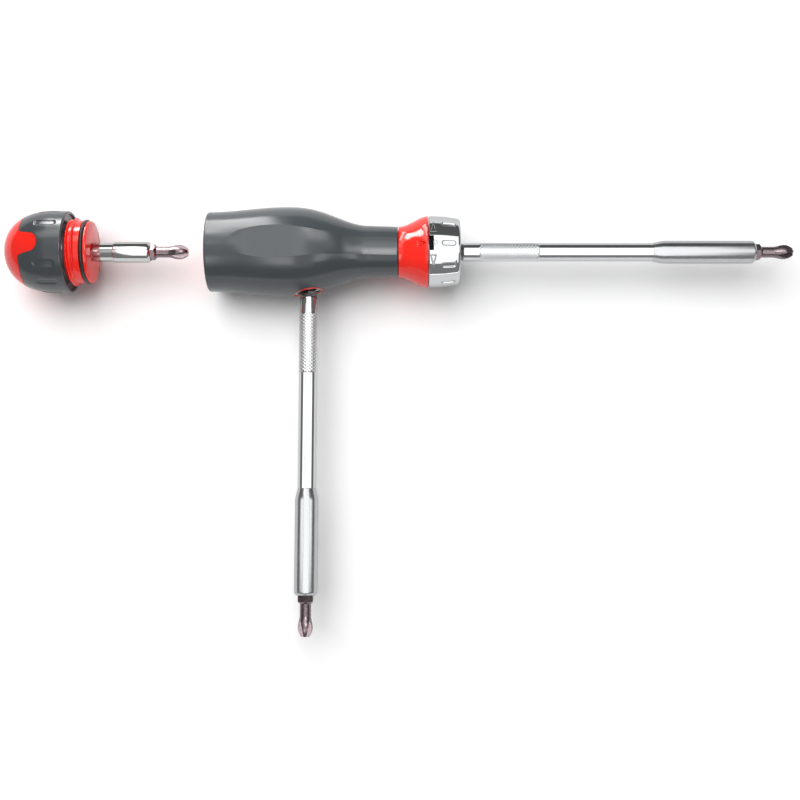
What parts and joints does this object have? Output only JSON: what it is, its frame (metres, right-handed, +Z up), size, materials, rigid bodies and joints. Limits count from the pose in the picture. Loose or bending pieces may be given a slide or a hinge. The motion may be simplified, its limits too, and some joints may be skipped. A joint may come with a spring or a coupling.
{
  "type": "ratchet screwdriver",
  "caption": "Ratchet screwdriver with a waisted soft grip, a selector ring, a long bit-holder blade, a T-handle side drive and a screw-off cap that is a stubby driver.",
  "frame": {"origin": "centre of the open mouth at the rear of the handle, on the tool's axis", "axes": "+X along the tool towards the front bit, the side blade points along -Y, +Z up"},
  "size_m": [0.3461, 0.186, 0.0379],
  "materials": {
    "red_plastic": "moulded gloss",
    "soft_grip": "smooth soft overmould",
    "chrome": "bright plated",
    "satin_steel": "satin plated",
    "tool_steel": "machined",
    "bit_steel": "hardened, brown-grey",
    "bronze": "sintered",
    "magnet": "nickel plated",
    "seal_rubber": "matt"
  },
  "bodies": {
    "handle": {"handle_core": "red_plastic", "handle_grip": "soft_grip", "side_socket": "satin_steel", "side_socket_magnet": "magnet", "ratchet_housing": "tool_steel", "spindle_bush": "bronze", "thrust_washer": "tool_steel", "pawl_pin_forward": "tool_steel", "pawl_pin_reverse": "tool_steel", "pawl_spring": "tool_steel", "detent_spring": "tool_steel", "ring_retainer": "tool_steel"},
    "selector": {"selector_ring": "chrome"},
    "pawl_f": {"pawl_forward": "tool_steel"},
    "pawl_r": {"pawl_reverse": "tool_steel"},
    "spindle": {"ratchet_spindle": "tool_steel", "spindle_clip": "tool_steel", "spindle_magnet": "magnet"},
    "front_blade": {"front_shaft": "chrome", "front_holder": "satin_steel", "front_magnet": "magnet"},
    "front_bit": {"front_bit": "bit_steel"},
    "side_blade": {"side_shaft": "chrome", "side_holder": "satin_steel", "side_magnet": "magnet"},
    "side_bit": {"side_bit": "bit_steel"},
    "cap_seal": {"cap_o_ring": "seal_rubber"},
    "cap": {"cap_core": "red_plastic", "cap_grip": "soft_grip", "cap_socket": "satin_steel", "cap_magnet": "magnet"},
    "stub": {"stub_holder": "satin_steel", "stub_magnet": "magnet"},
    "stub_bit": {"stub_bit": "bit_steel"}
  },
  "joints": [
    {"name": "selector_turn", "type": "hinge", "parent": "handle", "child": "selector", "pos_m": [0.103, 0, 0], "axis": [1, 0, 0], "range_deg": [-25, 25]},
    {"name": "pawl_forward_swing", "type": "hinge", "parent": "handle", "child": "pawl_f", "pos_m": [0.101, 0.00939, 0], "axis": [1, 0, 0], "range_deg": [-4.2, 4.2]},
    {"name": "pawl_reverse_swing", "type": "hinge", "parent": "handle", "child": "pawl_r", "pos_m": [0.101, -0.00939, 0], "axis": [1, 0, 0], "range_deg": [-4.2, 4.2]},
    {"name": "spindle_turn", "type": "hinge", "parent": "handle", "child": "spindle", "pos_m": [0.1, 0, 0], "axis": [1, 0, 0], "continuous": true},
    {"name": "front_blade_slide", "type": "slide", "parent": "spindle", "child": "front_blade", "axis": [1, 0, 0], "range_m": [0, 0.03]},
    {"name": "front_bit_slide", "type": "slide", "parent": "front_blade", "child": "front_bit", "axis": [1, 0, 0], "range_m": [0, 0.012]},
    {"name": "side_blade_slide", "type": "slide", "parent": "handle", "child": "side_blade", "axis": [0, -1, 0], "range_m": [0, 0.03]},
    {"name": "side_bit_slide", "type": "slide", "parent": "side_blade", "child": "side_bit", "axis": [0, -1, 0], "range_m": [0, 0.012]},
    {"name": "cap_slide", "type": "slide", "parent": "handle", "child": "cap_seal", "axis": [-1, 0, 0], "range_m": [-0.0603, 0.06]},
    {"name": "cap_turn", "type": "hinge", "parent": "cap_seal", "child": "cap", "pos_m": [-0.06, 0, 0], "axis": [1, 0, 0], "continuous": true},
    {"name": "stub_slide", "type": "slide", "parent": "cap", "child": "stub", "axis": [1, 0, 0], "range_m": [0, 0.0125]},
    {"name": "stub_bit_slide", "type": "slide", "parent": "stub", "child": "stub_bit", "axis": [1, 0, 0], "range_m": [0, 0.0095]}
  ],
  "couplings": [
    {"joint": "pawl_forward_swing", "follows": "selector_turn", "ratio": 0.16},
    {"joint": "pawl_reverse_swing", "follows": "selector_turn", "ratio": 0.16}
  ]
}
